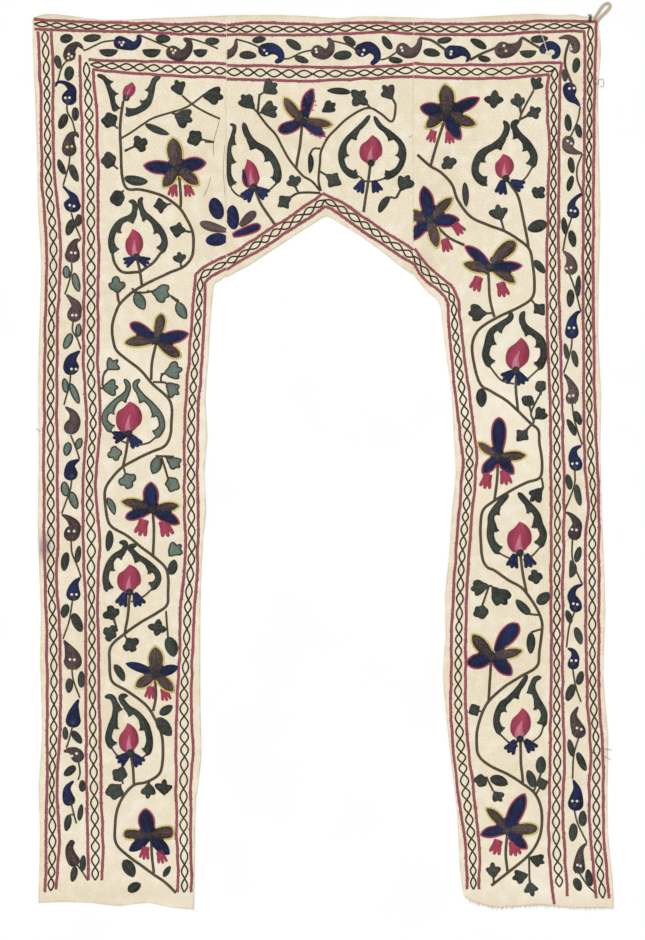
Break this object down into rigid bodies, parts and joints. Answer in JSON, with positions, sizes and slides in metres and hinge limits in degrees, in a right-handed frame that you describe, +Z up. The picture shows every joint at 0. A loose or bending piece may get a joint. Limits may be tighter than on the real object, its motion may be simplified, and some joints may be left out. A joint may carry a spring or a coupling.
{
  "type": "suzani embroidered textile",
  "caption": "Flat embroidered cotton door surround shaped as a pointed arch, worked with flowers, buds and paisleys between twisted bands, with a hanging loop at a top corner.",
  "frame": {"origin": "on the ground, under the middle of the whole piece as it lies", "axes": "+Z up out of the embroidered face, +Y towards the top edge, +X to the right as the face is read"},
  "size_m": [1.395, 2.1786, 0.0024],
  "materials": {
    "cotton_cloth": "matt hand-woven cream cotton with faint creases and stains",
    "loop_tape": "matt tan cotton tape",
    "crimson_thread": "soft sheen of silk chain stitch",
    "navy_thread": "soft sheen of silk chain stitch",
    "brown_thread": "soft sheen of silk chain stitch",
    "green_thread": "soft sheen of silk chain stitch",
    "teal_thread": "soft sheen of silk chain stitch",
    "olive_thread": "soft sheen of silk chain stitch",
    "yellow_thread": "soft sheen of silk chain stitch",
    "pink_thread": "soft sheen of silk chain stitch",
    "white_thread": "soft sheen of silk chain stitch"
  },
  "bodies": {
    "root": {"left_panel": "cotton_cloth", "crown_panel": "cotton_cloth", "right_panel": "cotton_cloth", "hanging_loop": "loop_tape"}
  },
  "joints": []
}
